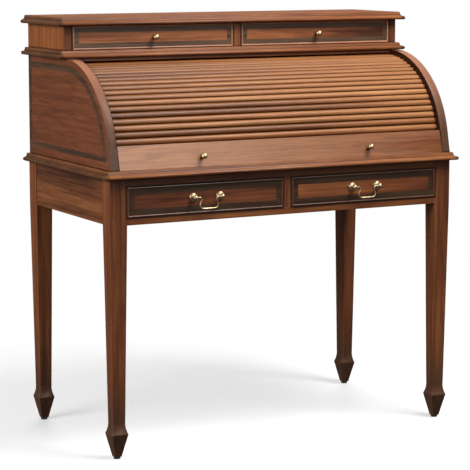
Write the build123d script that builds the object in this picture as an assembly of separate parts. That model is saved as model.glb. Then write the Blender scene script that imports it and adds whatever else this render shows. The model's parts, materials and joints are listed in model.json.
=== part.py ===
from build123d import *
import os
from math import cos, radians, sin, tan

# Roll top desk: a writing table on four tapered legs with two drawers, a quarter-round case
# closed by a slatted tambour, and a low two-drawer case on top.
# Millimetres. X runs to the sitter's right, Y runs to the back, Z is up, floor at z = 0.
# The origin is on the floor, midway between the sides, the pulls' tips and the back.

# ---------------------------------------------------------------- driving dimensions
BASE_WIDTH = 1000.0          # outside faces of the legs
BASE_DEPTH = 520.0
LEG = 46.0                   # square leg at the frame
APRON_LOW = 592.0            # underside of the drawer frame
DESK_LOW = 708.0             # underside of the desktop
DESK_TOP = 728.0             # writing surface, and the tambour's centre height
SHELF_LOW = 991.0            # underside of the upper shelf
SHELF_TOP = 1010.0
TOP_LOW = 1073.5             # underside of the top board
TOTAL_HEIGHT = 1094.5
BOARD_WIDTH = 1040.0         # upper shelf and top board
DESK_OVERHANG = 18.0         # desktop past the legs at both sides
DESK_NOSE = 17.5             # desktop past the legs in front
PULL_REACH = 22.0            # pulls stand this far off the drawer fronts
FACE_SETBACK = 1.0           # rails and drawer fronts behind the legs' faces

CASE_HALF = 499.0            # outside of the case sides
SIDE_THICK = 24.0
EDGE_RADIUS = 263.0          # front curve of the case sides, tangent under the shelf
EDGE_LEAN = 12.2             # degrees: the curve's straight foot leans back this much

SLAT_COUNT = 20
SLAT_PITCH = 4.09            # degrees per slat
SLAT_START = 13.8            # degrees above the desktop where the first slat begins
SLAT_FLAT = 240.85           # inner face
SLAT_SHOULDER = 244.4
SLAT_CROWN = 250.0
SLAT_GAP = 0.3
CLOTH_RADIUS = 239.8
CLOTH_THICK = 1.0
TONGUE = (242.5, 246.2)      # radii of the slat ends that run in the grooves
TONGUE_HALF = 7.0
TONGUE_OUT = 481.5
GROOVE = (242.1, 246.9)
GROOVE_DEPTH = 7.5
GROOVE_END = 168.0           # degrees

UPPER_HALF = 499.0           # outside of the upper case sides
UPPER_SIDE = 22.5
DIVIDER_HALF = 12.0          # half width of both drawer dividers

# ---------------------------------------------------------------- derived places
OVERALL_DEPTH = BASE_DEPTH + PULL_REACH - FACE_SETBACK
BACK = OVERALL_DEPTH / 2
LEG_FRONT = BACK - BASE_DEPTH
FACE = LEG_FRONT + FACE_SETBACK
HALF = BASE_WIDTH / 2
LEG_IN = HALF - LEG
FRONT_LEG_BACK = LEG_FRONT + LEG
BACK_LEG_FRONT = BACK - LEG
CASE_BACK = BACK - 3.0
AXIS_Y = BACK - 253.0        # the tambour turns about a line along X at this Y, z = DESK_TOP
SIDE_IN = CASE_HALF - SIDE_THICK
SHELF_NOSE = BACK - 263.0
UPPER_FACE = SHELF_NOSE + 18.0
UPPER_IN = UPPER_HALF - UPPER_SIDE
SLIP = 1.0                   # reveal round a drawer front
RIDE = 0.4                   # drawer sides above what they run on

os.makedirs("parts", exist_ok=True)


# ---------------------------------------------------------------- helpers
def board(x, y, z):
    """A straight board from three (low, high) pairs."""
    place = Location(((x[0] + x[1]) / 2, (y[0] + y[1]) / 2, (z[0] + z[1]) / 2))
    return place * Box(abs(x[1] - x[0]), abs(y[1] - y[0]), abs(z[1] - z[0]))


def rod(start, direction, radius, length):
    """A round bar from a point along a direction."""
    return extrude(Plane(start, z_dir=direction) * Circle(radius), length)


def other_side(shape):
    """The same piece for the opposite end of the desk."""
    return mirror(shape, Plane.YZ)


def group(pieces):
    """Several separate solids kept as one sub-part."""
    return Compound(children=[solid for piece in pieces for solid in piece.solids()])


def save(name, shape):
    """Write one sub-part."""
    export_step(shape, "parts/" + name + ".step")


def save_pair(name, right):
    """Write a right-hand sub-part and its mirror image."""
    save(name + "_right", right)
    save(name + "_left", other_side(right))


def polar(radius, angle, along=0.0):
    """(y, z) at an angle above the desktop, seen from the tambour's axis."""
    a = radians(angle)
    return (AXIS_Y - radius * cos(a) + along * sin(a), DESK_TOP + radius * sin(a) + along * cos(a))


def across(face, x_low, x_high):
    """Extrude an outline drawn in (y, z) from one x to another."""
    return extrude(Plane.YZ.offset(x_low) * face, x_high - x_low)


def outline(points):
    """A straight-edged closed face."""
    return make_face(Polyline(*points, close=True))


def ring_part(inner, outer, start, end):
    """A stretch of a ring about the tambour's axis, drawn in (y, z)."""
    middle = (start + end) / 2
    return make_face([
        ThreePointArc(polar(outer, start), polar(outer, middle), polar(outer, end)),
        Line(polar(outer, end), polar(inner, end)),
        ThreePointArc(polar(inner, end), polar(inner, middle), polar(inner, start)),
        Line(polar(inner, start), polar(outer, start)),
    ])


# ---------------------------------------------------------------- legs and their frame
NECK = (16.5, 97.0)          # half width and height of the leg's narrowest place
SPADE = (22.2, 64.0)
TOE = (9.0, 5.0)
TENON = 16.0
TENON_THICK = 9.0
APRON_THICK = 20.0
APRON_SETBACK = 2.0
RAIL_DEPTH = 40.0
TOP_RAIL_LOW = 687.0
BOTTOM_RAIL_TOP = 610.0


def leg_blank():
    """A leg centred on the Z axis: square, tapered to a neck, then a spade foot."""
    half = LEG / 2
    side = make_face([
        Line((0, DESK_LOW), (half, DESK_LOW)),
        Line((half, DESK_LOW), (half, APRON_LOW)),
        Line((half, APRON_LOW), NECK),
        ThreePointArc(NECK, (17.6, 79.5), SPADE),
        Line(SPADE, TOE),
        Line(TOE, (0, TOE[1])),
        Line((0, TOE[1]), (0, DESK_LOW)),
    ])
    whole = side + mirror(side, Plane.YZ)
    seen_from_front = extrude(Plane.XZ * whole, half, both=True)
    seen_from_side = extrude(Plane.YZ * whole, half, both=True)
    return seen_from_front & seen_from_side


def tenoned_x(low, high, y, z, tenon_y):
    """A rail along X with a tenon at each end."""
    body = board((low, high), y, z)
    tenon = board((low - TENON, high + TENON), tenon_y, (z[0] + 3, z[1] - 3))
    return body + tenon


def build_frame():
    """Legs, feet, aprons, drawer rails and what the lower drawers run on."""
    side_x = (HALF - APRON_SETBACK - APRON_THICK, HALF - APRON_SETBACK)
    frame_z = (APRON_LOW, DESK_LOW)
    tenon_x = (side_x[0] + 5, side_x[0] + 5 + TENON_THICK)
    apron = board(side_x, (FRONT_LEG_BACK, BACK_LEG_FRONT), frame_z)
    apron += board(
        tenon_x,
        (FRONT_LEG_BACK - TENON, BACK_LEG_FRONT + TENON),
        (APRON_LOW + 12, DESK_LOW - 12),
    )
    back_y = (BACK - APRON_SETBACK - APRON_THICK, BACK - APRON_SETBACK)
    back_tenon = (back_y[0] + 8, back_y[0] + 8 + TENON_THICK)
    back_apron = tenoned_x(-LEG_IN, LEG_IN, back_y, frame_z, back_tenon)
    rail_y = (FACE, FACE + RAIL_DEPTH)
    rail_tenon = (FACE + 6, FACE + 6 + TENON_THICK)
    bottom_rail = tenoned_x(-LEG_IN, LEG_IN, rail_y, (APRON_LOW, BOTTOM_RAIL_TOP), rail_tenon)
    top_rail = tenoned_x(-LEG_IN, LEG_IN, rail_y, (TOP_RAIL_LOW, DESK_LOW), rail_tenon)
    divider = board((-DIVIDER_HALF, DIVIDER_HALF), rail_y, (BOTTOM_RAIL_TOP, TOP_RAIL_LOW))

    joined = group([apron, other_side(apron), back_apron, bottom_rail, top_rail])
    leg = leg_blank()
    for end, y in (("front", LEG_FRONT + LEG / 2), ("back", BACK - LEG / 2)):
        fitted = Location((HALF - LEG / 2, y, 0)) * leg
        for piece in joined.solids():
            fitted = fitted - piece
        save_pair("leg_" + end, fitted)

    glides = []
    for x in (-HALF + LEG / 2, HALF - LEG / 2):
        for y in (LEG_FRONT + LEG / 2, BACK - LEG / 2):
            glide = rod((x, y, 0), (0, 0, 1), TOE[0] - 0.2, TOE[1])
            glides.append(fillet(glide.edges().group_by(Axis.Z)[0], 1.0))
    save("foot_glides", group(glides))
    save_pair("side_apron", apron)
    save("back_apron", back_apron)
    save("drawer_rail_bottom", bottom_rail)
    save("drawer_rail_top", top_rail)
    save("drawer_divider", divider)

    run_y = (FACE + RAIL_DEPTH, back_y[0])
    runner_z = (APRON_LOW, BOTTOM_RAIL_TOP)
    edge_runner = board((LEG_IN - 24, LEG_IN), run_y, runner_z)
    edge_runner += board((LEG_IN, side_x[0]), (FRONT_LEG_BACK, BACK_LEG_FRONT), (APRON_LOW, 640))
    middle_runner = board((-40, 40), run_y, runner_z)
    middle_runner += board((1 - DIVIDER_HALF, DIVIDER_HALF - 1), run_y, (APRON_LOW, 640))
    save("drawer_runners", group([edge_runner, other_side(edge_runner), middle_runner]))
    return run_y


# ---------------------------------------------------------------- moulded boards
TOP_IN = 12.8                # the moulding's reach from its nose to the top surface
ROUND_OVER = 1.4             # rounding of the top arris
RISER_IN = 10.0              # foot of the riser under the top arris
RISER_DROP = 7.0             # its height below the top surface
NOSE_TOP = (3.2, 9.4)        # where the cove runs into the nose
NOSE_MIDDLE = 4.9
NOSE_FOOT = 2.6


def moulding(nose, inward, low, thick):
    """Edges of a riser, cove and round nose, from the top surface down."""
    def at(u, z):
        return (nose + inward * u, low + z)

    arris = at(TOP_IN - ROUND_OVER, thick - ROUND_OVER)
    arris_middle = at(TOP_IN - 0.71 * ROUND_OVER, thick - 0.29 * ROUND_OVER)
    riser_foot = at(RISER_IN, thick - RISER_DROP)
    cove_middle = at(
        (RISER_IN + NOSE_TOP[0]) / 2 + 0.5, (thick - RISER_DROP + NOSE_TOP[1]) / 2 - 1.2
    )
    return [
        ThreePointArc(at(TOP_IN, thick), arris_middle, arris),
        Line(arris, riser_foot),
        ThreePointArc(riser_foot, cove_middle, at(*NOSE_TOP)),
        ThreePointArc(at(*NOSE_TOP), at(0, NOSE_MIDDLE), at(NOSE_FOOT, 0)),
    ]


def moulded_board(half_width, front, back, low, high):
    """A board moulded on its front and both ends and plain at the back."""
    thick = high - low
    along = make_face(
        moulding(front, 1, low, thick)
        + [
            Line((front + NOSE_FOOT, low), (back, low)),
            Line((back, low), (back, high)),
            Line((back, high), (front + TOP_IN, high)),
        ]
    )
    ends = make_face(
        moulding(-half_width, 1, low, thick)
        + moulding(half_width, -1, low, thick)
        + [
            Line((NOSE_FOOT - half_width, low), (half_width - NOSE_FOOT, low)),
            Line((TOP_IN - half_width, high), (half_width - TOP_IN, high)),
        ]
    )
    length = across(along, -half_width, half_width)
    depth = extrude(Plane.XZ.offset(-back) * ends, back - front)
    return length & depth


# ---------------------------------------------------------------- desktop, kickers and screws
SCREW_RADIUS = 2.0
SCREW_HEAD = 4.0


def build_desktop(run_y):
    """The desktop, the kickers above the lower drawers and the screws between them."""
    desktop = moulded_board(
        HALF + DESK_OVERHANG, LEG_FRONT - DESK_NOSE, BACK, DESK_LOW, DESK_TOP
    )
    kicker_z = (TOP_RAIL_LOW, DESK_LOW)
    edge = board((LEG_IN - 24, LEG_IN), run_y, kicker_z)
    kickers = [edge, other_side(edge), board((-40, 40), run_y, kicker_z)]
    screws = []
    for x in (12 - LEG_IN, 0, LEG_IN - 12):
        for y in (run_y[0] + 60, run_y[1] - 60):
            head = rod((x, y, TOP_RAIL_LOW), (0, 0, 1), SCREW_HEAD, 3)
            screws.append(head + rod((x, y, TOP_RAIL_LOW), (0, 0, 1), SCREW_RADIUS, 34))
    for screw in screws:
        desktop = desktop - screw
        kickers = [kicker - screw for kicker in kickers]
    save("desktop", desktop)
    save("drawer_kickers", group(kickers))
    save("desktop_screws", group(screws))


# ---------------------------------------------------------------- roll top case
INLAY_DEEP = 2.0
INLAY_OUTER = EDGE_RADIUS - 16.5
INLAY_INNER = EDGE_RADIUS - 33.0
INLAY_FOOT = (20.5, 34.0)    # heights of the lower line above the desktop
REAR_STRIP = 20.0


def rounded_quarter(radius, low, rear):
    """Outline bounded by the arc of a radius, a floor line and a rear line, in (y, z)."""
    foot_y = AXIS_Y - (radius ** 2 - (low - DESK_TOP) ** 2) ** 0.5
    top = DESK_TOP + radius
    return make_face([
        ThreePointArc((foot_y, low), polar(radius, 45), (AXIS_Y, top)),
        Line((AXIS_Y, top), (rear, top)),
        Line((rear, top), (rear, low)),
        Line((rear, low), (foot_y, low)),
    ])


def side_outline():
    """Case side: a leaning foot, a quarter round, and a flat top under the shelf."""
    foot = (AXIS_Y - EDGE_RADIUS / cos(radians(EDGE_LEAN)), DESK_TOP)
    bend = polar(EDGE_RADIUS, EDGE_LEAN)
    crown = (AXIS_Y, SHELF_LOW)
    return make_face([
        Line(foot, bend),
        ThreePointArc(bend, polar(EDGE_RADIUS, (EDGE_LEAN + 90) / 2), crown),
        Line(crown, (CASE_BACK, SHELF_LOW)),
        Line((CASE_BACK, SHELF_LOW), (CASE_BACK, DESK_TOP)),
        Line((CASE_BACK, DESK_TOP), foot),
    ])


def build_case():
    """Case sides with their grooves and inlay, back, header, and the two moulded boards."""
    strip_y = CASE_BACK - REAR_STRIP
    ring = rounded_quarter(INLAY_OUTER, DESK_TOP + INLAY_FOOT[0], strip_y + 1)
    ring = ring - rounded_quarter(INLAY_INNER, DESK_TOP + INLAY_FOOT[1], strip_y)
    strip = outline([
        (strip_y, DESK_TOP), (CASE_BACK, DESK_TOP), (CASE_BACK, SHELF_LOW), (strip_y, SHELF_LOW)
    ])
    inlay = across(ring + strip, CASE_HALF - INLAY_DEEP, CASE_HALF)
    side = across(side_outline(), SIDE_IN, CASE_HALF) - inlay
    groove = ring_part(GROOVE[0], GROOVE[1], -1.0, GROOVE_END)
    side = side - across(groove, SIDE_IN, SIDE_IN + GROOVE_DEPTH)
    save_pair("case_side", side)
    save_pair("side_inlay", inlay)

    back_y = (CASE_BACK - 7, CASE_BACK - 1)
    save("case_back", board((-SIDE_IN, SIDE_IN), back_y, (DESK_TOP, SHELF_LOW)))
    header_y = (SHELF_NOSE + 6, SHELF_NOSE + 24)
    save("header_rail", board((-SIDE_IN, SIDE_IN), header_y, (SHELF_LOW - 9, SHELF_LOW)))

    wide = BOARD_WIDTH / 2
    save("upper_shelf", moulded_board(wide, SHELF_NOSE, CASE_BACK, SHELF_LOW, SHELF_TOP))
    save("top_board", moulded_board(wide, SHELF_NOSE, CASE_BACK, TOP_LOW, TOTAL_HEIGHT))
    upper_z = (SHELF_TOP, TOP_LOW)
    save_pair("upper_side", board((UPPER_IN, UPPER_HALF), (UPPER_FACE, CASE_BACK), upper_z))
    save("upper_back", board((-UPPER_IN, UPPER_IN), back_y, upper_z))
    save(
        "upper_divider",
        board((-DIVIDER_HALF, DIVIDER_HALF), (UPPER_FACE, back_y[0]), upper_z),
    )


# ---------------------------------------------------------------- pigeonholes
PIGEON_FRONT = BACK - 180.0
PIGEON_BACK = BACK - 54.0
PIGEON_TOP = DESK_TOP + 118.0
PIGEON_BOARD = 8.0
PIGEON_THIN = 6.0
PIGEONHOLES = 6


def build_gallery():
    """The pigeonhole gallery that stands on the desktop under the tambour's path."""
    width = (-SIDE_IN, SIDE_IN)
    under = PIGEON_TOP - PIGEON_BOARD
    save("gallery_top", board(width, (PIGEON_FRONT - 4, PIGEON_BACK), (under, PIGEON_TOP)))
    back_y = (PIGEON_BACK - PIGEON_THIN, PIGEON_BACK)
    save("gallery_back", board(width, back_y, (DESK_TOP, under)))
    uprights = []
    for i in range(PIGEONHOLES + 1):
        low = -SIDE_IN + i * (2 * SIDE_IN - PIGEON_THIN) / PIGEONHOLES
        span = (low, low + PIGEON_THIN)
        uprights.append(board(span, (PIGEON_FRONT, back_y[0]), (DESK_TOP, under)))
    save("gallery_uprights", group(uprights))


# ---------------------------------------------------------------- knobs and pulls
BALL = 8.2
BALL_AT = PULL_REACH - BALL
STUD = 2.0


def knob():
    """A ball knob standing on the XY plane, with its threaded stud below."""
    foot = [(0, -12), (STUD, -12), (STUD, 0), (6.4, 0), (6.4, 1.2), (5.4, 2.4), (4.0, 3.4), (3.4, 4.6)]
    meet = (3.4, BALL_AT - (BALL ** 2 - 3.4 ** 2) ** 0.5)
    section = make_face([
        Polyline(*foot, meet),
        ThreePointArc(meet, (BALL, BALL_AT), (0, PULL_REACH)),
        Line((0, PULL_REACH), (0, -12)),
    ])
    return revolve(Plane.XZ * section, Axis.Z)


def fitted_knob(point, direction):
    """A knob standing on a face at a point."""
    return Plane(point, z_dir=direction) * knob()


# ---------------------------------------------------------------- tambour
LIFT_LEAN = 15.0             # degrees: the lifting rail's face leans back this much
LIFT_TOP = DESK_TOP + 60.0
LIFT_THICK = 20.0
LIFT_GAP = 0.6
LIFT_FOOT = AXIS_Y - 270.0
KNOB_X = 245.0
KNOB_Z = DESK_TOP + 24.0


def slat(angle):
    """One slat with a rounded front and a tongue on each end."""
    half = SLAT_FLAT * tan(radians(SLAT_PITCH / 2)) - SLAT_GAP / 2
    section = make_face([
        Line(polar(SLAT_FLAT, angle, -half), polar(SLAT_FLAT, angle, half)),
        Line(polar(SLAT_FLAT, angle, half), polar(SLAT_SHOULDER, angle, half)),
        ThreePointArc(
            polar(SLAT_SHOULDER, angle, half),
            polar(SLAT_CROWN, angle),
            polar(SLAT_SHOULDER, angle, -half),
        ),
        Line(polar(SLAT_SHOULDER, angle, -half), polar(SLAT_FLAT, angle, -half)),
    ])
    tongue = outline([
        polar(TONGUE[0], angle, -TONGUE_HALF),
        polar(TONGUE[0], angle, TONGUE_HALF),
        polar(TONGUE[1], angle, TONGUE_HALF),
        polar(TONGUE[1], angle, -TONGUE_HALF),
    ])
    body = across(section, 1 - SIDE_IN, SIDE_IN - 1)
    return body + across(tongue, -TONGUE_OUT, TONGUE_OUT)


def build_tambour():
    """The lifting rail with its knobs, the slats, and the cloth that joins them."""
    lean = tan(radians(LIFT_LEAN))
    low = DESK_TOP + LIFT_GAP
    face_top = (LIFT_FOOT + (LIFT_TOP - low) * lean, LIFT_TOP)
    thick_y = LIFT_THICK * cos(radians(LIFT_LEAN))
    thick_z = LIFT_THICK * sin(radians(LIFT_LEAN))
    inner_top = (face_top[0] + thick_y, face_top[1] - thick_z)
    inner_foot = (LIFT_FOOT + LIFT_THICK / cos(radians(LIFT_LEAN)), low)
    section = outline([(LIFT_FOOT, low), inner_foot, inner_top, face_top])
    rail = across(section, 1 - SIDE_IN, SIDE_IN - 1)
    rail += across(ring_part(TONGUE[0], TONGUE[1], 8.0, 12.8), -TONGUE_OUT, TONGUE_OUT)

    face_y = LIFT_FOOT + (KNOB_Z - low) * lean
    out = (0, -cos(radians(LIFT_LEAN)), sin(radians(LIFT_LEAN)))
    knobs = [fitted_knob((x, face_y, KNOB_Z), out) for x in (-KNOB_X, KNOB_X)]
    for piece in knobs:
        rail = rail - piece
    save("tambour_rail", rail)
    save("tambour_knobs", group(knobs))

    slats = [slat(SLAT_START + (i + 0.5) * SLAT_PITCH) for i in range(SLAT_COUNT)]
    save("tambour_slats", group(slats))
    end = SLAT_START + SLAT_COUNT * SLAT_PITCH - 0.3
    cloth = ring_part(CLOTH_RADIUS, CLOTH_RADIUS + CLOTH_THICK, SLAT_START - 0.4, end)
    save("tambour_cloth", across(cloth, 5 - SIDE_IN, SIDE_IN - 5))


# ---------------------------------------------------------------- drawers
BEAD = 4.5                   # width of the cock bead round a drawer front
BEAD_DEEP = 8.0
BEAD_PROUD = 2.5
BAND_DEEP = 2.0
FRONT_THICK = 20.0
BOX_SIDE = 12.0
BOX_BACK = 10.0
BOTTOM_THICK = 5.0
BOTTOM_UP = 8.0
GROOVED = 6.0


def hollow_frame(x, y, z, width):
    """A rectangular frame of a border width."""
    hole = board((x[0] + width, x[1] - width), (y[0] - 1, y[1] + 1), (z[0] + width, z[1] - width))
    return board(x, y, z) - hole


def drawer(x, face, z, depth, band_width, side_x):
    """Front, bead, band, box and bottom of one drawer, from its front's x and z spans.

    side_x holds the outside faces of the drawer's sides.
    """
    blank = board(x, (face, face + FRONT_THICK), z)
    bead_y = (face - BEAD_PROUD, face + BEAD_DEEP)
    bead = hollow_frame(x, bead_y, z, BEAD)
    round_over = bead.edges().group_by(Axis.Y)[0]
    seat = hollow_frame(x, (face, face + BEAD_DEEP), z, BEAD)
    bead = fillet(round_over, BEAD / 2 - 0.3)
    inner_x = (x[0] + BEAD, x[1] - BEAD)
    inner_z = (z[0] + BEAD, z[1] - BEAD)
    band = hollow_frame(inner_x, (face, face + BAND_DEEP), inner_z, band_width)

    back = face + depth
    box_z = (z[0] - SLIP + RIDE, z[1] - 3)
    side_y = (face + FRONT_THICK, back)
    sides = [
        board((side_x[0], side_x[0] + BOX_SIDE), side_y, box_z),
        board((side_x[1] - BOX_SIDE, side_x[1]), side_y, box_z),
    ]
    inside = (side_x[0] + BOX_SIDE, side_x[1] - BOX_SIDE)
    floor_z = (box_z[0] + BOTTOM_UP, box_z[0] + BOTTOM_UP + BOTTOM_THICK)
    rear = board(inside, (back - BOX_BACK, back), (floor_z[1], box_z[1]))
    bottom = board(
        (inside[0] - GROOVED, inside[1] + GROOVED),
        (face + FRONT_THICK - GROOVED, back),
        floor_z,
    )
    front = blank - seat - band - bottom
    sides = [side - bottom for side in sides]
    return {
        "front": front,
        "bead": bead,
        "band": band,
        "box": group(sides + [rear]),
        "bottom": bottom,
    }


UPPER_DEPTH = 226.0
LOWER_DEPTH = 470.0
PULL_X = (DIVIDER_HALF + LEG_IN) / 2
PULL_Z = 652.0


def build_upper_drawers():
    """Two shallow drawers in the upper case, each with one knob."""
    x = (DIVIDER_HALF + SLIP, UPPER_IN - SLIP)
    z = (SHELF_TOP + SLIP, TOP_LOW - SLIP)
    made = drawer(x, UPPER_FACE, z, UPPER_DEPTH, 13.0, (x[0] + 1, x[1] - 1))
    knob_z = (SHELF_TOP + TOP_LOW) / 2 - 1
    pull = fitted_knob((KNOB_X, UPPER_FACE, knob_z), (0, -1, 0))
    made["front"] = made["front"] - pull
    made["knob"] = pull
    for piece, shape in made.items():
        for hand, placed in (("right", shape), ("left", other_side(shape))):
            save("upper_drawer_" + hand + "_" + piece, placed)


POST_HALF = 38.0             # half of the bail's post spacing
POST_BALL = 6.6
POST_BALL_AT = 14.0
PIN_RADIUS = 1.75
PIN_CLEARANCE = 0.05
PIN_END = 36.2
BAIL_DROP = 29.0             # from the pins down to the grip
NUT_RADIUS = 4.5
NUT_THICK = 3.5


def bail_post(x):
    """A domed rosette post with its stud through the drawer front, drilled for the bail."""
    stem = 3.2
    stud_end = -FRONT_THICK - NUT_THICK - 1.5
    foot = [
        (0, stud_end), (STUD, stud_end), (STUD, 0), (11.4, 0), (11.4, 1.2), (10.6, 2.9),
        (9.2, 4.4), (7.2, 5.6), (5.0, 6.3), (stem, 6.6),
    ]
    meet = (stem, POST_BALL_AT - (POST_BALL ** 2 - stem ** 2) ** 0.5)
    tip = (1.6, POST_BALL_AT + (POST_BALL ** 2 - 1.6 ** 2) ** 0.5)
    section = make_face([
        Polyline(*foot, meet),
        ThreePointArc(meet, (POST_BALL, POST_BALL_AT), tip),
        Polyline(tip, (1.2, PULL_REACH), (0, PULL_REACH), (0, stud_end)),
    ])
    post = Plane((x, FACE, PULL_Z), z_dir=(0, -1, 0)) * revolve(Plane.XZ * section, Axis.Z)
    inward = -1 if x > PULL_X else 1
    pin_y = FACE - POST_BALL_AT
    hole_start = (x + inward * (POST_HALF - PIN_END - 0.6), pin_y, PULL_Z)
    return post - rod(hole_start, (inward, 0, 0), PIN_RADIUS + PIN_CLEARANCE, POST_BALL + 2)


def bail():
    """The swinging wire handle with a thicker grip, hanging from its two pins."""
    y = FACE - POST_BALL_AT

    def at(u, drop):
        return (PULL_X + u, y, PULL_Z - drop)

    right = [at(17.5, BAIL_DROP), at(25.8, 21.5), at(21.6, 0), at(PIN_END, 0)]
    left = [at(-PIN_END, 0), at(-21.6, 0), at(-25.8, 21.5), at(-17.5, BAIL_DROP)]
    path = FilletPolyline(*left, *right, radius=[4.0, 6.0, 4.5, 4.5, 6.0, 4.0])
    wire = sweep(Plane(at(-PIN_END, 0), z_dir=(1, 0, 0)) * Circle(PIN_RADIUS), path=path)
    grip_half = 15.0
    grip = make_face([
        ThreePointArc((-grip_half, 1.5), (0, 2.9), (grip_half, 1.5)),
        Polyline((grip_half, 1.5), (grip_half, 0), (-grip_half, 0), (-grip_half, 1.5)),
    ])
    spindle = revolve(grip, Axis.X)
    return wire + Location(at(0, BAIL_DROP)) * spindle


def build_lower_drawers():
    """Two drawers in the table frame, each with a bail pull."""
    x = (DIVIDER_HALF + SLIP, LEG_IN - SLIP)
    z = (BOTTOM_RAIL_TOP + SLIP, TOP_RAIL_LOW - SLIP)
    made = drawer(x, FACE, z, LOWER_DEPTH, 15.0, (x[0] + 1, x[1] - 1))
    posts = []
    for post_x in (PULL_X - POST_HALF, PULL_X + POST_HALF):
        post = bail_post(post_x)
        inner = (post_x, FACE + FRONT_THICK, PULL_Z)
        nut = extrude(Plane(inner, z_dir=(0, 1, 0)) * RegularPolygon(NUT_RADIUS, 6), NUT_THICK)
        made["front"] = made["front"] - post
        posts += [post, nut - post]
    made["posts"] = group(posts)
    made["bail"] = bail()
    for piece, shape in made.items():
        for hand, placed in (("right", shape), ("left", other_side(shape))):
            save("lower_drawer_" + hand + "_" + piece, placed)


build_desktop(build_frame())
build_case()
build_gallery()
build_tambour()
build_upper_drawers()
build_lower_drawers()
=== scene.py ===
"""Roll top desk in stained mahogany with dark banding and antique brass pulls.

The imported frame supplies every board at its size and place. This script softens the boards'
arrises, lays the finishes on them, turns the brass on a lathe, bends the bail wires, and sets
up a plain pale studio.
"""

import json
import logging
import math
from dataclasses import dataclass, field
from enum import Enum
from functools import lru_cache
from typing import Protocol

import bpy
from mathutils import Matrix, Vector


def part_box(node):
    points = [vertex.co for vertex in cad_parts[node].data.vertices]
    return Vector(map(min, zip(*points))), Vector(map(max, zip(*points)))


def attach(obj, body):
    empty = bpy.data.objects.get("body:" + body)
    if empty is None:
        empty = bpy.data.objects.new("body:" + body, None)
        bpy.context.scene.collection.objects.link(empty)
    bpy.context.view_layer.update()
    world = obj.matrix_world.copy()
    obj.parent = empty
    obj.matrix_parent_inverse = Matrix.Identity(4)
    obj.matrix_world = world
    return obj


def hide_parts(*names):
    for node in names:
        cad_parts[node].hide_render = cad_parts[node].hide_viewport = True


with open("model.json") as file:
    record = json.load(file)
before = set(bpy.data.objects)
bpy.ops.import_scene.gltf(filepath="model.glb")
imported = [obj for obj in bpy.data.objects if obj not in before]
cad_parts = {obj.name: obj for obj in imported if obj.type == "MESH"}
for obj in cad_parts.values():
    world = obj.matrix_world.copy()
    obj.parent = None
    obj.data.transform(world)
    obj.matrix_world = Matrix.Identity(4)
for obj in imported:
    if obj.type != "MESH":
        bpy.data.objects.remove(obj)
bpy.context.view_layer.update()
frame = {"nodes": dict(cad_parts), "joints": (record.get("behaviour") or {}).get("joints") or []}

MM = 0.001
HANDS = ("left", "right")
JOINTS = {joint["name"]: joint for joint in frame["joints"]}
TAMBOUR_AXIS = JOINTS["tambour_roll"]["pos_m"][1:]  # its Y and Z; it runs along X
UPPER_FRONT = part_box("upper_side_left")[0].y
BLACK = (0.0, 0.0, 0.0)
WHITE = (1.0, 1.0, 1.0)
Colour = tuple[float, float, float]
Socket = tuple[bpy.types.Node, str | int]  # a node and the name or number of its output
Profile = list[tuple[float, float]]  # radius and height, in metres
log = logging.getLogger("desk")


# ------------------------------------------------------------------ finishes
class Grain(Enum):
    """Which way a board's fibres run, as the turn that brings them onto X."""

    ALONG_X = (0.0, 0.0, 0.0)
    ALONG_Y = (0.0, 0.0, -90.0)
    ALONG_Z = (0.0, 90.0, 0.0)


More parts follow.
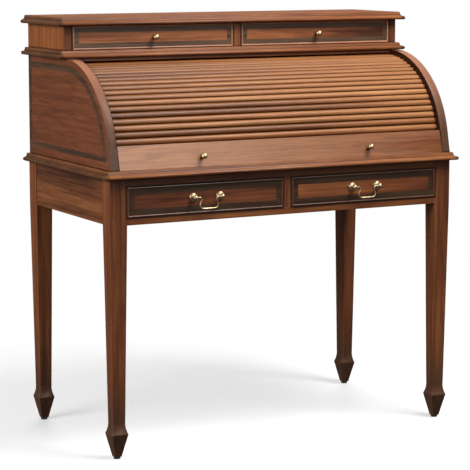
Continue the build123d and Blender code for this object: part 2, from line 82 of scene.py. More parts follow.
class Graph:
    """A material's node tree, with short ways to add nodes and join them."""

    def __init__(self, name: str) -> None:
        """Start an empty material.

        Args:
            name: the material's name.
        """
        self.material = bpy.data.materials.new(name)
        self.material.use_nodes = True
        self.tree = self.material.node_tree
        self.tree.nodes.clear()
        self.output = self.add("ShaderNodeOutputMaterial")
        self.shader = self.add("ShaderNodeBsdfPrincipled")
        self.join(self.shader, "BSDF", self.output, "Surface")

    def add(self, kind: str, **settings) -> bpy.types.Node:
        """Add a node and set its plain properties.

        Args:
            kind: the node's type name.
            settings: property values, such as operation="MULTIPLY".

        Returns:
            The new node.
        """
        node = self.tree.nodes.new(kind)
        for key, value in settings.items():
            setattr(node, key, value)
        return node

    def join(
        self, source: bpy.types.Node, out: str | int, target: bpy.types.Node, into: str | int
    ) -> None:
        """Link an output to an input."""
        self.tree.links.new(source.outputs[out], target.inputs[into])

    def place(self) -> bpy.types.Node:
        """The X, Y and Z of the point that is shaded, in the desk's own frame.

        Returns:
            A node whose outputs are X, Y and Z.
        """
        split = self.add("ShaderNodeSeparateXYZ")
        self.join(self.add("ShaderNodeTexCoord"), "Object", split, 0)
        return split

    def math(
        self, operation: str, first: float | Socket, second: float | Socket | None = None
    ) -> bpy.types.Node:
        """A Math node on numbers or on (node, output) pairs.

        Args:
            operation: the Math node's operation.
            first: a number or a (node, output) pair.
            second: the same, or None for a one-input operation.

        Returns:
            The Math node.
        """
        node = self.add("ShaderNodeMath", operation=operation)
        for index, value in enumerate((first, second)):
            if value is None:
                continue
            if isinstance(value, tuple):
                self.join(value[0], value[1], node, index)
            else:
                node.inputs[index].default_value = value
        return node

    def scaled(self, value: Socket, by: float, plus: float) -> bpy.types.Node:
        """A value times a number, plus another.

        Args:
            value: the (node, output) pair.
            by: what it is multiplied by.
            plus: what is added after that.

        Returns:
            The Math node.
        """
        node = self.math("MULTIPLY_ADD", value, by)
        node.inputs[2].default_value = plus
        return node

    def ramp(self, source: Socket, stops: list[tuple[float, Colour]]) -> bpy.types.Node:
        """A colour ramp fed by a value.

        Args:
            source: the (node, output) pair that drives it.
            stops: (position, colour) pairs from low to high.

        Returns:
            The Color Ramp node.
        """
        node = self.add("ShaderNodeValToRGB")
        elements = node.color_ramp.elements
        while len(elements) < len(stops):
            elements.new(0.5)
        for element, (place, colour) in zip(elements, stops):
            element.position = place
            element.color = (*colour, 1.0)
        self.join(source[0], source[1], node, "Fac")
        return node

    def mix(
        self, blend: str, factor: float | Socket, first: Socket, second: Colour | Socket
    ) -> bpy.types.Node:
        """A colour mix.

        Args:
            blend: the blend type, such as "MULTIPLY".
            factor: a number or a (node, output) pair.
            first: the (node, output) pair below.
            second: a colour, or the (node, output) pair above.

        Returns:
            The Mix node; its colour output is number 2.
        """
        node = self.add("ShaderNodeMix", data_type="RGBA", blend_type=blend)
        if isinstance(factor, tuple):
            self.join(factor[0], factor[1], node, 0)
        else:
            node.inputs[0].default_value = factor
        self.join(first[0], first[1], node, 6)
        if isinstance(second[0], bpy.types.Node):
            self.join(second[0], second[1], node, 7)
        else:
            node.inputs[7].default_value = (*second, 1.0)
        return node

    def stretched(self, source: Socket, along: float, across: float, offset: float = 0.0) -> Socket:
        """Coordinates squeezed so that a pattern runs long on X.

        Args:
            source: (node, output) pair of the coordinates.
            along: scale on X.
            across: scale on Y and Z.
            offset: shift of the pattern.

        Returns:
            The (node, output) pair of the new coordinates.
        """
        node = self.add("ShaderNodeMapping")
        node.inputs["Scale"].default_value = (along, across, across)
        node.inputs["Location"].default_value = (offset, offset * 0.7, offset * 1.3)
        self.join(source[0], source[1], node, "Vector")
        return (node, "Vector")

    def noise(self, where: Socket, scale: float, detail: float = 2.0, distortion: float = 0.0) -> Socket:
        """A noise value in 0 to 1.

        Args:
            where: the (node, output) pair of the coordinates.
            scale: the noise's scale.
            detail: how many finer octaves it has.
            distortion: how much it is swirled.

        Returns:
            The (node, output) pair of the value.
        """
        node = self.add("ShaderNodeTexNoise")
        node.inputs["Scale"].default_value = scale
        node.inputs["Detail"].default_value = detail
        node.inputs["Distortion"].default_value = distortion
        self.join(where[0], where[1], node, "Vector")
        return (node, "Fac")

    def bump(
        self, height: Socket, distance: float, strength: float = 1.0, below: bpy.types.Node | None = None
    ) -> bpy.types.Node:
        """A bump from a height.

        Args:
            height: the (node, output) pair of the height.
            distance: the relief's depth, in metres.
            strength: how strongly it shows.
            below: a Bump node that it is laid over, or None.

        Returns:
            The Bump node.
        """
        node = self.add("ShaderNodeBump")
        node.inputs["Strength"].default_value = strength
        node.inputs["Distance"].default_value = distance
        self.join(height[0], height[1], node, "Height")
        if below is not None:
            self.join(below, "Normal", node, "Normal")
        return node

    def between(self, value: Socket, low: float, high: float) -> bpy.types.Node:
        """A value mapped smoothly from 1 to 0.

        Args:
            value: the (node, output) pair to map.
            low: where the result is 1.
            high: where it is 0, above or below low.

        Returns:
            The Map Range node.
        """
        node = self.add("ShaderNodeMapRange", interpolation_type="SMOOTHSTEP")
        node.inputs["From Min"].default_value = low
        node.inputs["From Max"].default_value = high
        node.inputs["To Min"].default_value = 1.0
        node.inputs["To Max"].default_value = 0.0
        self.join(value[0], value[1], node, "Value")
        return node

    def beyond(self, value: Socket, low: float, high: float) -> Socket:
        """How far a value lies outside a range, below 0 when it is inside."""
        off = self.math("ABSOLUTE", (self.math("SUBTRACT", value, (low + high) / 2), 0))
        return (self.math("SUBTRACT", (off, 0), (high - low) / 2), 0)

    def round_axis(self) -> tuple[Socket, Socket, Socket]:
        """Where the shaded point is, measured round the tambour's axis.

        Returns:
            The angle above the desktop, the distance from the axis, and how far in front of it.
        """
        axis_y, axis_z = TAMBOUR_AXIS
        split = self.place()
        up = self.math("SUBTRACT", (split, "Z"), axis_z)
        out = self.math("SUBTRACT", axis_y, (split, "Y"))
        angle = self.math("ARCTAN2", (up, 0), (out, 0))
        squares = [(self.math("POWER", (side, 0), 2.0), 0) for side in (up, out)]
        reach = self.math("SQRT", (self.math("ADD", *squares), 0))
        return (angle, 0), (reach, 0), (out, 0)


@dataclass(frozen=True)
class RecessShade:
    """Where painted shade darkens the wood: round the drawers, and above and below the mouldings.

    Each pair is the distance where the painted shade lies fully and the one where it ends.
    """

    drawers: tuple[str, ...] = ("lower_drawer_right_bead", "upper_drawer_right_bead")
    ledges: tuple[str, ...] = ("desktop", "upper_shelf", "top_board")
    quirks: tuple[str, ...] = ()
    quirk_drop: float = 7.0 * MM
    in_quirk: tuple[float, float] = (0.5 * MM, 1.3 * MM)
    round_drawer: tuple[float, float] = (3.4 * MM, 5.4 * MM)
    at_ledge: tuple[float, float] = (1.2 * MM, 4.6 * MM)
    front: float = 14.0 * MM
    strength: float = 0.85

    def depth(self, g: Graph) -> Socket:
        """How thickly the painted shade lies.

        Args:
            g: the graph to add to.

        Returns:
            The (node, output) pair of a value from 0 for none to 1.
        """
        split = g.place()
        side = g.math("ABSOLUTE", (split, "X"))
        layers = []
        for node in self.drawers:
            low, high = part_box(node)
            across = g.beyond((side, 0), low.x, high.x)
            upright = g.beyond((split, "Z"), low.z, high.z)
            rim = g.between((g.math("MAXIMUM", across, upright), 0), *self.round_drawer)
            near = g.math("LESS_THAN", (split, "Y"), low.y + self.front)
            layers.append(g.math("MULTIPLY", (rim, 0), (near, 0)))
        for node in self.ledges:
            low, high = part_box(node)
            layers.append(g.between(g.beyond((split, "Z"), low.z, high.z), *self.at_ledge))
        for node in self.quirks:
            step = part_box(node)[1].z - self.quirk_drop
            layers.append(g.between(g.beyond((split, "Z"), step, step), *self.in_quirk))
        deepest = layers[0]
        for layer in layers[1:]:
            deepest = g.math("MAXIMUM", (deepest, 0), (layer, 0))
        return (g.math("MULTIPLY", (deepest, 0), self.strength), 0)


@dataclass(frozen=True)
class Shade:
    """A part of a board that is coloured darker, by its place along one axis.

    The darkening lies fully up to one place and ends at another; along X both sides count.
    """

    axis: str
    full: float
    none: float
    strength: float = 0.8

    def depth(self, g: Graph) -> Socket:
        """How thickly the darkening lies.

        Args:
            g: the graph to add to.

        Returns:
            The (node, output) pair of a value from 0 for none to the strength.
        """
        place = (g.place(), self.axis)
        if self.axis == "X":
            place = (g.math("ABSOLUTE", place), 0)
        edge = g.between(place, self.full, self.none)
        return (g.math("MULTIPLY", (edge, 0), self.strength), 0)


@dataclass(frozen=True)
class Layer:
    """One layer of the wood's pattern: noise that is drawn out along the fibres."""

    along: float
    across: float
    detail: float
    swirl: float = 0.0
    offset: float = 0.0

    def read(self, g: Graph, base: Socket, seed: float) -> Socket:
        """The layer's value in 0 to 1, on coordinates with the fibres along X."""
        where = g.stretched(base, self.along, self.across, seed + self.offset)
        return g.noise(where, 1.0, self.detail, self.swirl)


class Finish(Protocol):
    """Anything that a piece can be dressed in."""

    def material(self) -> bpy.types.Material:
        """The finish's material."""
        ...


@dataclass(frozen=True)
class WoodFinish:
    """Stained and lacquered hardwood with its figure, growth lines, fibres and pores.

    The figure is how fine its broad pattern runs across the fibres, the contrast how far light and
    dark lie apart, and the drift how much lighter it gets along X, per metre from drift_from.
    """

    name: str
    grain: Grain
    dark: Colour = (0.090, 0.022, 0.006)
    mid: Colour = (0.190, 0.057, 0.016)
    light: Colour = (0.310, 0.112, 0.034)
    seed: float = 0.0
    figure: float = 7.0
    contrast: float = 1.0
    drift: float = 0.0
    drift_from: float = 0.0
    board_shift: float = 0.16
    line_depth: float = 0.35
    pore_depth: float = 0.45
    roughness: float = 0.40
    gloss: float = 0.18
    coat: float = 0.06
    stain_and_shade_colour: Colour = (0.060, 0.020, 0.006)
    # painted shade in the recesses round the drawers and at the mouldings
    recess_shade: RecessShade | None = RecessShade()
    shade: Shade | None = None
    streaks: Layer = Layer(2.4, 105.0, 5.0, 0.3, 3.0)
    fibres: Layer = Layer(9.0, 420.0, 3.0)
    pores: Layer = Layer(30.0, 1100.0, 2.0, 0.0, 7.0)
    line_tint: Colour = (0.42, 0.30, 0.26)
    fibre_tint: Colour = (0.62, 0.58, 0.55)
    pore_tint: Colour = (0.28, 0.20, 0.18)
    # the colour that the painted shade in the recesses multiplies in
    recess_shade_tint: Colour = (0.16, 0.12, 0.10)

    @lru_cache(maxsize=None)
    def material(self) -> bpy.types.Material:
        """Build the material once.

        Returns:
            The material for boards of this finish.
        """
        g = Graph(self.name)
        turned = g.add("ShaderNodeMapping")
        turned.inputs["Rotation"].default_value = [math.radians(a) for a in self.grain.value]
        g.join(g.add("ShaderNodeTexCoord"), "Object", turned, "Vector")
        return self.lay(g, (turned, "Vector"), None)

    def stain_and_shade(self, g: Graph) -> Socket | None:
        """Where the wood is darkened, by real staining on some boards and painted shade on others, as a
        (node, output) pair, or None for nowhere.
        """
        return self.shade.depth(g) if self.shade else None

    def tint(self, g: Graph) -> Colour | Socket:
        """The colour of that staining and painted shade, or the (node, output) pair that gives it."""
        return self.stain_and_shade_colour

    def lay(self, g: Graph, base: Socket, board: Socket | None) -> bpy.types.Material:
        """Lay the wood's colour, gloss and relief.

        Args:
            g: the graph to fill.
            base: coordinates with the fibres along X.
            board: a value that differs from board to board, or None for one board.

        Returns:
            The finished material.
        """
        broad = Layer(1.1, self.figure, 3.0, 0.9).read(g, base, self.seed)
        streak = self.streaks.read(g, base, self.seed)
        fibre = self.fibres.read(g, base, self.seed)
        pit = g.ramp(self.pores.read(g, base, self.seed), [(0.60, BLACK), (0.68, WHITE)])
        pitted = g.math("MULTIPLY", (pit, "Color"), self.pore_depth)

        tone = self.tone(g, broad, streak, board)
        colour = g.ramp(tone, [(0.30, self.dark), (0.50, self.mid), (0.70, self.light)])
        lines = self.growth_lines(g, base)
        colour = g.mix("MULTIPLY", lines, (colour, "Color"), self.line_tint)
        fleck = g.ramp(fibre, [(0.36, self.fibre_tint), (0.62, WHITE)])
        colour = g.mix("MULTIPLY", 0.55, (colour, 2), (fleck, "Color"))
        colour = g.mix("MULTIPLY", (pitted, 0), (colour, 2), self.pore_tint)

        g.shader.inputs["Specular IOR Level"].default_value = self.gloss
        # darkening: real staining on some boards, painted shade on others
        stain_and_shade = self.stain_and_shade(g)
        if stain_and_shade is not None:
            colour = g.mix("MIX", stain_and_shade, (colour, 2), self.tint(g))
            g.join(g.scaled(stain_and_shade, -0.85 * self.gloss, self.gloss), 0, g.shader, "Specular IOR Level")
        # painted shade: darker in the recesses, round the drawers and at the mouldings
        if self.recess_shade is not None:
            colour = g.mix("MULTIPLY", self.recess_shade.depth(g), (colour, 2), self.recess_shade_tint)
        g.join(colour, 2, g.shader, "Base Color")

        g.join(g.scaled(streak, 0.16, self.roughness - 0.08), 0, g.shader, "Roughness")
        g.shader.inputs["Coat Weight"].default_value = self.coat
        g.shader.inputs["Coat Roughness"].default_value = 0.22
        low = g.bump(broad, 0.6 * MM, 0.35)
        mid = g.bump(fibre, 0.08 * MM, 0.5, low)
        fine = g.bump((pitted, 0), 0.12 * MM, 0.4, mid)
        fine.invert = True
        g.join(fine, "Normal", g.shader, "Normal")
        return g.material

    def tone(self, g: Graph, broad: Socket, streak: Socket, board: Socket | None) -> Socket:
        """How light the wood is, before its lines and fibres.

        Args:
            g: the graph to add to.
            broad: the figure's value.
            streak: the streaks' value.
            board: a value that differs from board to board, or None for one board.

        Returns:
            The (node, output) pair of the tone, about 0.5 in the middle.
        """
        halves = [(g.math("MULTIPLY", part, 0.50), 0) for part in (broad, streak)]
        both = g.math("ADD", *halves)
        tone = g.scaled((both, 0), self.contrast, 0.5 - 0.5 * self.contrast)
        if board is not None:
            shift = g.scaled(board, self.board_shift, -self.board_shift / 2)
            tone = g.math("ADD", (tone, 0), (shift, 0))
        if self.drift:
            lean = g.scaled((g.place(), "X"), self.drift, -self.drift * self.drift_from)
            tone = g.math("ADD", (tone, 0), (lean, 0))
        return (tone, 0)

    def growth_lines(self, g: Graph, base: Socket) -> Socket:
        """The year rings, cut along, as fine wavering dark lines.

        Args:
            g: the graph to add to.
            base: coordinates with the fibres along X.

        Returns:
            The (node, output) pair of how dark the lines are.
        """
        rings = g.add("ShaderNodeTexWave", wave_type="BANDS", bands_direction="Y")
        rings.inputs["Scale"].default_value = 34.0
        rings.inputs["Distortion"].default_value = 9.0
        rings.inputs["Detail"].default_value = 3.0
        rings.inputs["Detail Scale"].default_value = 1.6
        where = g.stretched(base, 0.10, 1.0, self.seed * 0.1 + 0.03)
        g.join(where[0], where[1], rings, "Vector")
        sharp = g.math("POWER", (rings, "Fac"), 2.2)
        return (g.math("MULTIPLY", (sharp, 0), self.line_depth), 0)


@dataclass(frozen=True)
class SlatFinish(WoodFinish):
    """Mahogany on the tambour: every slat is a stick of its own tone, with painted shade in the grooves.

    The first slat starts at one angle, in degrees, and the others follow at a pitch.
    """

    start: float = 13.8
    pitch: float = 4.09
    groove: tuple[float, float] = (245.4 * MM, 248.7 * MM)
    fade: tuple[float, float] = (86.0, 50.0)

    @lru_cache(maxsize=None)
    def material(self) -> bpy.types.Material:
        """Build the material once.

        Returns:
            A material whose tone and figure change from slat to slat.
        """
        g = Graph(self.name)
        angle, _, _ = g.round_axis()
        turns = g.math("SUBTRACT", angle, math.radians(self.start))
        turns = g.math("DIVIDE", (turns, 0), math.radians(self.pitch))
        chance = g.add("ShaderNodeTexWhiteNoise", noise_dimensions="1D")
        g.join(g.math("FLOOR", (turns, 0)), 0, chance, "W")
        along = g.math("MULTIPLY", (chance, "Value"), 5.0)
        shift = g.add("ShaderNodeCombineXYZ")
        g.join(along, 0, shift, "X")
        g.join(along, 0, shift, "Y")
        moved = g.add("ShaderNodeVectorMath", operation="ADD")
        g.join(g.add("ShaderNodeTexCoord"), "Object", moved, 0)
        g.join(shift, 0, moved, 1)
        return self.lay(g, (moved, 0), (chance, "Value"))

    def stain_and_shade(self, g: Graph) -> Socket:
        """Painted shade lies in the grooves between the slats, and thinly on the highest slats.

        Args:
            g: the graph to add to.

        Returns:
            The (node, output) pair of how thickly it lies.
        """
        angle, reach, _ = g.round_axis()
        # painted shade in the grooves, and thinly on the highest slats
        groove_shade = g.math("MULTIPLY", (g.between(reach, *self.groove), 0), 0.85)
        high_shade = g.between(angle, *[math.radians(a) for a in self.fade])
        thin_high_shade = g.math("MULTIPLY", (high_shade, 0), 0.32)
        return (g.math("MAXIMUM", (groove_shade, 0), (thin_high_shade, 0)), 0)


@dataclass(frozen=True)
class CaseRecessShade(RecessShade):
    """Painted shade on the case sides: as elsewhere, and on the strip of inner face beside the slats."""

    inner: tuple[float, float] = (475.8 * MM, 476.8 * MM)
    past_slats: tuple[float, float] = (247.5 * MM, 246.0 * MM)

    def depth(self, g: Graph) -> Socket:
        """How thickly the painted shade lies.

        Args:
            g: the graph to add to.

        Returns:
            The (node, output) pair of a value from 0 for none to 1.
        """
        elsewhere = super().depth(g)
        _, reach, out = g.round_axis()
        # painted shade on the strip of inner face beside the slats
        inside = g.between((g.math("ABSOLUTE", (g.place(), "X")), 0), *self.inner)
        strip = g.math("MULTIPLY", (inside, 0), (g.between(reach, *self.past_slats), 0))
        front = g.math("MULTIPLY", (strip, 0), (g.math("GREATER_THAN", out, 0.0), 0))
        return (g.math("MAXIMUM", elsewhere, (front, 0)), 0)


@dataclass(frozen=True)
class CaseSideFinish(WoodFinish):
    """Mahogany whose curved front edge is coloured darker than its faces by its staining, most of all low
    down; toward the top of the curve a painted sheen lightens it.
    """

    edge: tuple[float, float] = (262.9 * MM, 262.2 * MM)
    stain_and_shade_colour: Colour = (0.085, 0.044, 0.028)
    # painted sheen: the lighter colour toward the top of the edge's curve
    painted_sheen_colour: Colour = (0.290, 0.130, 0.075)
    recess_shade: RecessShade | None = CaseRecessShade()

    def stain_and_shade(self, g: Graph) -> Socket:
        """Stain covers the edge in front of the axis.

        Args:
            g: the graph to add to.

        Returns:
            The (node, output) pair of how thickly it lies.
        """
        _, reach, out = g.round_axis()
        rim = g.between(reach, *self.edge)
        front = g.math("GREATER_THAN", out, 0.0)
        covered = g.math("MULTIPLY", (rim, 0), (front, 0))
        return (g.math("MULTIPLY", (covered, 0), 0.9), 0)

    def tint(self, g: Graph) -> Socket:
        """The staining is dark at the foot of the curve and lightened toward its top by a painted sheen.

        Args:
            g: the graph to add to.

        Returns:
            The (node, output) pair of its colour.
        """
        angle, _, _ = g.round_axis()
        rise = g.math("DIVIDE", angle, math.radians(90))
        return (g.ramp((rise, 0), [(0.15, self.stain_and_shade_colour), (0.72, self.painted_sheen_colour)]), "Color")


@dataclass(frozen=True)
class BrassFinish:
    """Antique brass: warm polished metal, with patches of brown patina and fine rubbing marks."""

    name: str = "antique_brass"
    bright: Colour = (0.540, 0.405, 0.245)
    # the brass's patina; in the dark copy for the roses, painted shadow
    patina_and_shade: Colour = (0.290, 0.195, 0.100)

    @lru_cache(maxsize=None)
    def material(self) -> bpy.types.Material:
        """Build the material once.

        Returns:
            The brass material.
        """
        g = Graph(self.name)
        where = (g.add("ShaderNodeTexCoord"), "Object")
        patch = g.noise(where, 190.0, 4.0, 0.6)
        rub = g.noise(g.stretched(where, 300.0, 1500.0), 1.0, 2.0)
        colour = g.ramp(patch, [(0.34, self.patina_and_shade), (0.60, self.bright)])
        g.join(colour, "Color", g.shader, "Base Color")
        g.shader.inputs["Metallic"].default_value = 1.0
        g.join(g.scaled(patch, -0.16, 0.50), 0, g.shader, "Roughness")
        g.join(g.bump(rub, 0.02 * MM, 0.2), "Normal", g.shader, "Normal")
        return g.material


@dataclass(frozen=True)
class CanvasFinish:
    """Plain woven cotton canvas glued behind the slats."""

    name: str = "canvas"
    thread: float = 0.9 * MM
    light: Colour = (0.50, 0.42, 0.29)
    dark: Colour = (0.25, 0.20, 0.13)

    @lru_cache(maxsize=None)
    def material(self) -> bpy.types.Material:
        """Build the material once.

        Returns:
            A weave of crossing threads, darker between them, and soiled in broad blotches.
        """
        g = Graph(self.name)
        coordinates = g.add("ShaderNodeTexCoord")
        heights = []
        for direction in ("X", "Z"):
            wave = g.add("ShaderNodeTexWave", wave_type="BANDS", bands_direction=direction)
            wave.inputs["Scale"].default_value = 0.314 / self.thread
            wave.inputs["Distortion"].default_value = 0.6
            g.join(coordinates, "Object", wave, "Vector")
            heights.append((wave, "Fac"))
        weave = g.math("MAXIMUM", heights[0], heights[1])
        soil = g.noise((coordinates, "Object"), 9.0, 4.0)
        colour = g.ramp((weave, 0), [(0.2, self.dark), (0.9, self.light)])
        colour = g.mix("MULTIPLY", soil, (colour, "Color"), (0.80, 0.74, 0.66))
        g.join(colour, 2, g.shader, "Base Color")
        g.shader.inputs["Roughness"].default_value = 0.92
        g.shader.inputs["Sheen Weight"].default_value = 0.2
        g.join(g.bump((weave, 0), 0.2 * MM), "Normal", g.shader, "Normal")
        return g.material


@dataclass(frozen=True)
class MouldedFinish:
    """Black moulded plastic with a fine texture, for the glides."""

    name: str = "glide_plastic"
    dark: Colour = (0.012, 0.012, 0.013)
    light: Colour = (0.040, 0.039, 0.038)

    @lru_cache(maxsize=None)
    def material(self) -> bpy.types.Material:
        """Build the material once.

        Returns:
            The plastic's material.
        """
        g = Graph(self.name)
        grit = g.noise((g.add("ShaderNodeTexCoord"), "Object"), 1800.0, 2.0)
        tint = g.ramp(grit, [(0.3, self.dark), (0.8, self.light)])
        g.join(tint, "Color", g.shader, "Base Color")
        g.shader.inputs["Roughness"].default_value = 0.55
        g.join(g.bump(grit, 0.05 * MM, 0.5), "Normal", g.shader, "Normal")
        return g.material


@dataclass(frozen=True)
class ScrewFinish:
    """Zinc plated steel, a little dull, for the hidden screws."""

    name: str = "screw_steel"
    dark: Colour = (0.33, 0.32, 0.30)
    light: Colour = (0.58, 0.58, 0.56)

    @lru_cache(maxsize=None)
    def material(self) -> bpy.types.Material:
        """Build the material once.

        Returns:
            The steel's material.
        """
        g = Graph(self.name)
        bloom = g.noise((g.add("ShaderNodeTexCoord"), "Object"), 260.0, 3.0)
        tint = g.ramp(bloom, [(0.3, self.dark), (0.7, self.light)])
        g.join(tint, "Color", g.shader, "Base Color")
        g.shader.inputs["Metallic"].default_value = 1.0
        g.shader.inputs["Roughness"].default_value = 0.42
        return g.material


@dataclass(frozen=True)
class Finishes:
    """Every finish on the desk, by the boards that wear it."""

    rails: WoodFinish = WoodFinish("mahogany_rails", Grain.ALONG_X, seed=1.0)
    # painted sheen: the rail's colour is lightened toward its left end
    lifting_rail: WoodFinish = WoodFinish(
        "mahogany_lifting_rail", Grain.ALONG_X, seed=3.0, contrast=0.55, drift=-0.34, gloss=0.32,
        recess_shade=None,
        dark=(0.170, 0.042, 0.010), mid=(0.300, 0.108, 0.033), light=(0.400, 0.170, 0.064),
    )
    boards: WoodFinish = WoodFinish(
        "mahogany_boards", Grain.ALONG_X, seed=5.0, figure=9.0, stain_and_shade_colour=(0.040, 0.025, 0.014),
        # painted shade in the quirks of the mouldings
        recess_shade=RecessShade(drawers=(), ledges=(), quirks=("desktop", "upper_shelf", "top_board")),
        # darker ends of the side mouldings: dark glazing and wear, and painted shade where little light
        # reaches
        shade=Shade("X", 512.0 * MM, 503.0 * MM, 0.65),
        dark=(0.125, 0.036, 0.011), mid=(0.245, 0.080, 0.024), light=(0.370, 0.140, 0.046),
    )
    aprons: WoodFinish = WoodFinish(
        "mahogany_aprons", Grain.ALONG_Y, seed=11.0, figure=13.0, contrast=1.3,
        dark=(0.062, 0.020, 0.008), mid=(0.170, 0.056, 0.020), light=(0.280, 0.105, 0.037),
    )
    case_sides: CaseSideFinish = CaseSideFinish(
        "mahogany_case_sides", Grain.ALONG_Y, seed=9.0, figure=6.0, contrast=0.6, gloss=0.16, coat=0.05,
        dark=(0.100, 0.030, 0.012), mid=(0.180, 0.058, 0.023), light=(0.255, 0.092, 0.037),
    )
    legs: WoodFinish = WoodFinish(
        "mahogany_legs", Grain.ALONG_Z, seed=2.0, figure=22.0, contrast=1.3, stain_and_shade_colour=(0.050, 0.033, 0.023),
        shade=Shade("Z", 40.0 * MM, 260.0 * MM, 0.72),
        dark=(0.095, 0.028, 0.010), mid=(0.195, 0.061, 0.021), light=(0.300, 0.105, 0.036),
    )
    uprights: WoodFinish = WoodFinish(
        "mahogany_uprights", Grain.ALONG_Z, seed=14.0, figure=20.0, stain_and_shade_colour=(0.105, 0.042, 0.019),
        shade=Shade("Y", UPPER_FRONT + 1.0 * MM, UPPER_FRONT + 2.0 * MM),
        dark=(0.150, 0.044, 0.012), mid=(0.270, 0.086, 0.024), light=(0.390, 0.145, 0.044),
    )
    upper_left: WoodFinish = WoodFinish(
        "field_upper_left", Grain.ALONG_X, seed=12.0, figure=22.0, contrast=1.7, recess_shade=None,
        dark=(0.110, 0.032, 0.012), mid=(0.235, 0.078, 0.029), light=(0.370, 0.135, 0.050),
    )
    # darker toward its right end: partly the board's own tone, partly painted shade
    upper_right: WoodFinish = WoodFinish(
        "field_upper_right", Grain.ALONG_X, seed=13.0, figure=22.0, contrast=1.4,
        drift=-0.95, drift_from=0.28, recess_shade=None,
        dark=(0.072, 0.022, 0.009), mid=(0.235, 0.076, 0.026), light=(0.400, 0.145, 0.052),
    )
    lower_left: WoodFinish = WoodFinish(
        "field_lower_left", Grain.ALONG_X, seed=15.0, figure=24.0, contrast=1.4, recess_shade=None,
        dark=(0.050, 0.015, 0.006), mid=(0.150, 0.044, 0.016), light=(0.250, 0.082, 0.028),
    )
    # darker toward its right end: partly the board's own tone, partly painted shade
    lower_right: WoodFinish = WoodFinish(
        "field_lower_right", Grain.ALONG_X, seed=17.0, figure=24.0, contrast=1.3,
        drift=-0.80, drift_from=0.32, recess_shade=None,
        dark=(0.055, 0.015, 0.007), mid=(0.190, 0.054, 0.019), light=(0.350, 0.120, 0.040),
    )
    banding: WoodFinish = WoodFinish(
        "dark_banding", Grain.ALONG_X, seed=20.0, figure=40.0, pore_depth=0.3, recess_shade=None,
        dark=(0.026, 0.013, 0.007), mid=(0.055, 0.029, 0.015), light=(0.095, 0.053, 0.028),
    )
    side_banding: WoodFinish = WoodFinish(
        "dark_side_banding", Grain.ALONG_Y, seed=21.0, figure=40.0, pore_depth=0.3, recess_shade=None,
        dark=(0.045, 0.022, 0.011), mid=(0.082, 0.042, 0.023), light=(0.125, 0.068, 0.038),
    )
    upper_banding: WoodFinish = WoodFinish(
        "dark_upper_banding", Grain.ALONG_X, seed=22.0, figure=40.0, pore_depth=0.3, recess_shade=None,
        dark=(0.060, 0.032, 0.017), mid=(0.108, 0.062, 0.035), light=(0.160, 0.096, 0.056),
    )
    # lighter than the other mahogany: the beads' own colour, lifted as a painted highlight on their
    # crests; their outer sides get painted shade
    beads: WoodFinish = WoodFinish(
        "mahogany_beads", Grain.ALONG_X, seed=24.0, figure=30.0, roughness=0.36, gloss=0.4,
        recess_shade=RecessShade(round_drawer=(-0.1 * MM, -1.1 * MM), ledges=()),
        dark=(0.270, 0.105, 0.047), mid=(0.440, 0.185, 0.085), light=(0.560, 0.260, 0.125),
    )
    slats: SlatFinish = SlatFinish(
        "mahogany_slats", Grain.ALONG_X, seed=30.0, figure=10.0, contrast=0.7, line_depth=0.15,
        drift=0.20, recess_shade=None,
        dark=(0.125, 0.038, 0.010), mid=(0.300, 0.114, 0.034), light=(0.450, 0.200, 0.072),
    )
    lining: WoodFinish = WoodFinish(
        "drawer_lining", Grain.ALONG_Y, seed=40.0, figure=8.0, roughness=0.55, coat=0.0, recess_shade=None,
        dark=(0.300, 0.170, 0.080), mid=(0.430, 0.270, 0.140), light=(0.540, 0.370, 0.210),
        line_depth=0.25,
    )
    backs: WoodFinish = WoodFinish(
        "back_panels", Grain.ALONG_X, seed=44.0, figure=6.0, roughness=0.60, coat=0.0, recess_shade=None,
        dark=(0.060, 0.024, 0.012), mid=(0.110, 0.048, 0.025), light=(0.160, 0.080, 0.042),
    )
    brass: BrassFinish = BrassFinish()
    # painted shadow: a dark copy of the brass for the roses under the balls
    shadowed_brass: BrassFinish = BrassFinish("shadowed_brass", (0.100, 0.064, 0.032), (0.035, 0.022, 0.012))
    canvas: CanvasFinish = CanvasFinish()
    plastic: MouldedFinish = MouldedFinish()
    steel: ScrewFinish = ScrewFinish()


FINISH = Finishes()


# ------------------------------------------------------------------ bench tools
def clear_selection() -> None:
    """Leave nothing selected."""
    bpy.ops.object.select_all(action="DESELECT")


def make_active(piece: bpy.types.Object) -> None:
    """Select one piece alone and make it active.

    Args:
        piece: the piece.
    """
    clear_selection()
    piece.select_set(True)
    bpy.context.view_layer.objects.active = piece


def settle(piece: bpy.types.Object, smooth_angle: float = 40.0) -> None:
    """Put a piece's place into its mesh and smooth its shallow edges.

    Args:
        piece: the piece to finish.
        smooth_angle: degrees below which an edge is shaded smooth.
    """
    make_active(piece)
    bpy.ops.object.transform_apply(location=True, rotation=True, scale=True)
    bpy.ops.object.shade_smooth_by_angle(angle=math.radians(smooth_angle))


def coat(node: str, finish: Finish) -> bpy.types.Object:
    """Lay a finish on a CAD node, in every material slot it has.

    Args:
        node: the CAD node.
        finish: its finish.

    Returns:
        The node's piece.
    """
    piece = frame["nodes"][node]
    if not piece.material_slots:
        piece.data.materials.append(finish.material())
    for place in piece.material_slots:
        place.material = finish.material()
    return piece


def soften(node: str, radius: float) -> None:
    """Round a CAD node's arrises with modifiers, leaving its mesh as it is.

    Args:
        node: the CAD node.
        radius: how far the rounding reaches in from each arris, in metres.
    """
    piece = frame["nodes"][node]
    weld = piece.modifiers.new("weld", "WELD")
    weld.merge_threshold = 0.005 * MM
    rounding = piece.modifiers.new("arris", "BEVEL")
    rounding.width = radius
    rounding.segments = 2
    rounding.limit_method = "ANGLE"
    rounding.angle_limit = math.radians(32)
    rounding.use_clamp_overlap = True
    rounding.harden_normals = True


def finish_board(node: str, finish: Finish, radius: float = 0.7 * MM) -> bpy.types.Object:
    """Soften a board and lay its finish.

    Args:
        node: the CAD node.
        finish: its finish.
        radius: how far its arrises are rounded, in metres.

    Returns:
        The board.
    """
    soften(node, radius)
    return coat(node, finish)


